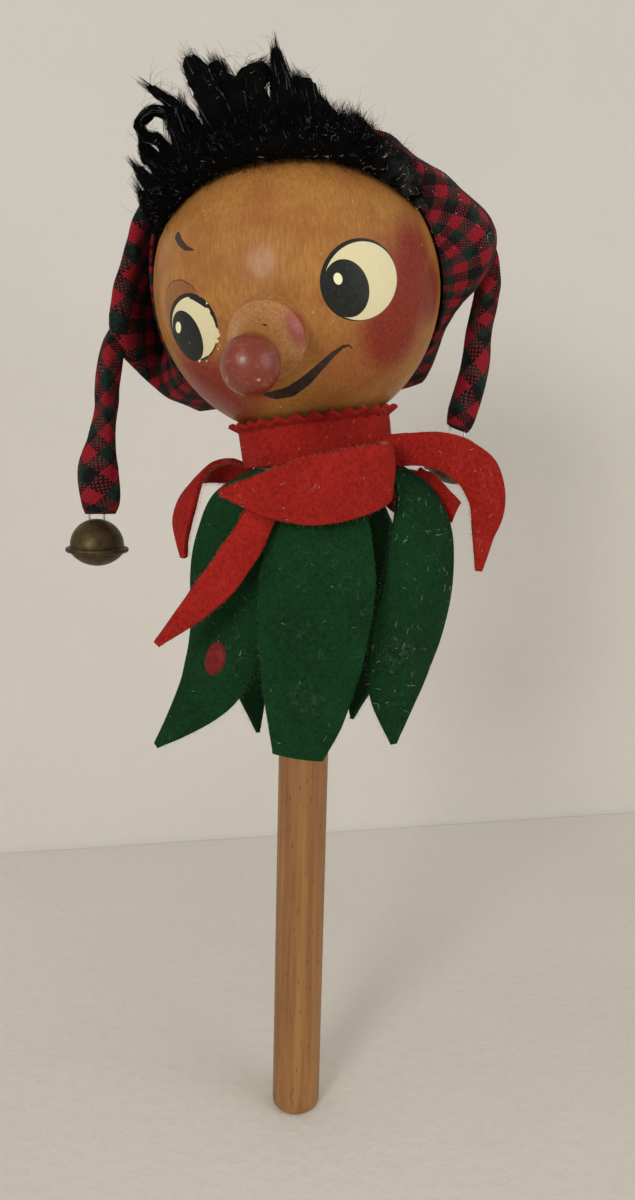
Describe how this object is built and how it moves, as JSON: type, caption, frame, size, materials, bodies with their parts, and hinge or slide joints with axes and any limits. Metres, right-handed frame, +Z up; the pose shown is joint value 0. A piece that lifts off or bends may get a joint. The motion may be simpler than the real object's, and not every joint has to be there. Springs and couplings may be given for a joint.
{
  "type": "musical spinning toy",
  "caption": "Wooden jester head that whirls on a stick, with bell-tipped hat points, a felt collar and a worm-driven musical cylinder inside the hollow head.",
  "frame": {"origin": "centre of the stick's foot", "axes": "+Z up the stick and the spin axis, -Y towards the viewer who faces the doll, -X on the viewer's left"},
  "size_m": [0.1278, 0.1045, 0.301],
  "materials": {
    "stick_wood": "bare beech, satin from handling",
    "neck_wood": "plain turned wood",
    "head_lacquer": "amber lacquer over turned wood, painted face",
    "nose_lacquer": "amber lacquer, red worn tip",
    "check_cloth": "woven red, black and dark green check",
    "black_wool": "black wool tufts",
    "red_felt": "matted wool felt",
    "green_felt": "matted wool felt",
    "button_lacquer": "red enamel",
    "bell_brass": "dull, aged",
    "brass": "turned and milled",
    "steel": "bright drawn",
    "comb_steel": "ground and tempered",
    "dark_steel": "blackened"
  },
  "bodies": {
    "stick": {"handle_stick": "stick_wood", "drive_shaft": "steel", "shaft_pin": "steel", "thrust_washer": "steel", "retaining_collar": "steel", "collar_screw": "dark_steel", "drive_worm": "brass"},
    "head": {"neck_block": "neck_wood", "neck_bush": "brass", "face_shell": "head_lacquer", "rear_cap": "head_lacquer", "nose": "nose_lacquer", "movement_bedplate": "brass", "music_comb": "comb_steel", "comb_clamp": "brass", "gear_bracket": "brass", "plain_bracket": "brass", "movement_screws": "dark_steel", "hat_hood": "check_cloth", "hair_fringe": "black_wool", "neck_band": "red_felt", "collar_front_point": "red_felt", "collar_left_point": "red_felt", "collar_back_left_point": "red_felt", "collar_right_point": "red_felt", "collar_back_right_point": "red_felt", "leaf_left": "green_felt", "leaf_centre": "green_felt", "leaf_right": "green_felt", "leaf_back_left": "green_felt", "leaf_back_right": "green_felt", "leaf_button": "button_lacquer"},
    "cylinder": {"cylinder_drum": "brass", "cylinder_arbor": "steel", "cylinder_gear": "brass"},
    "left_point": {"left_hat_point": "check_cloth"},
    "right_point": {"right_hat_point": "check_cloth"},
    "left_bell": {"left_bell_dome": "bell_brass", "left_bell_base": "bell_brass", "left_bell_wire": "steel"},
    "right_bell": {"right_bell_dome": "bell_brass", "right_bell_base": "bell_brass", "right_bell_wire": "steel"},
    "left_pellet": {"left_bell_pellet": "dark_steel"},
    "right_pellet": {"right_bell_pellet": "dark_steel"}
  },
  "joints": [
    {"name": "head_spin", "type": "hinge", "parent": "stick", "child": "head", "pos_m": [0, 0, 0], "axis": [0, 0, 1], "continuous": true},
    {"name": "cylinder_spin", "type": "hinge", "parent": "head", "child": "cylinder", "pos_m": [0, 0.0102, 0.24855], "axis": [1, 0, 0], "continuous": true},
    {"name": "left_point_swing", "type": "hinge", "parent": "head", "child": "left_point", "pos_m": [-0.0599, 0.014, 0.2237], "axis": [0, 1, 0], "range_deg": [0, 60]},
    {"name": "right_point_swing", "type": "hinge", "parent": "head", "child": "right_point", "pos_m": [0.0489, 0.013, 0.2522], "axis": [0, -1, 0], "range_deg": [0, 60]},
    {"name": "left_bell_swing", "type": "hinge", "parent": "left_point", "child": "left_bell", "pos_m": [-0.0647, 0.014, 0.1896], "axis": [1, 0, 0], "range_deg": [-30, 30]},
    {"name": "right_bell_swing", "type": "hinge", "parent": "right_point", "child": "right_bell", "pos_m": [0.0439, 0.013, 0.2171], "axis": [1, 0, 0], "range_deg": [-30, 30]},
    {"name": "left_pellet_hop", "type": "slide", "parent": "left_bell", "child": "left_pellet", "axis": [0, 0, 1], "range_m": [0, 0.005]},
    {"name": "right_pellet_hop", "type": "slide", "parent": "right_bell", "child": "right_pellet", "axis": [0, 0, 1], "range_m": [0, 0.005]}
  ],
  "couplings": [
    {"joint": "cylinder_spin", "follows": "head_spin", "ratio": -0.055556}
  ]
}
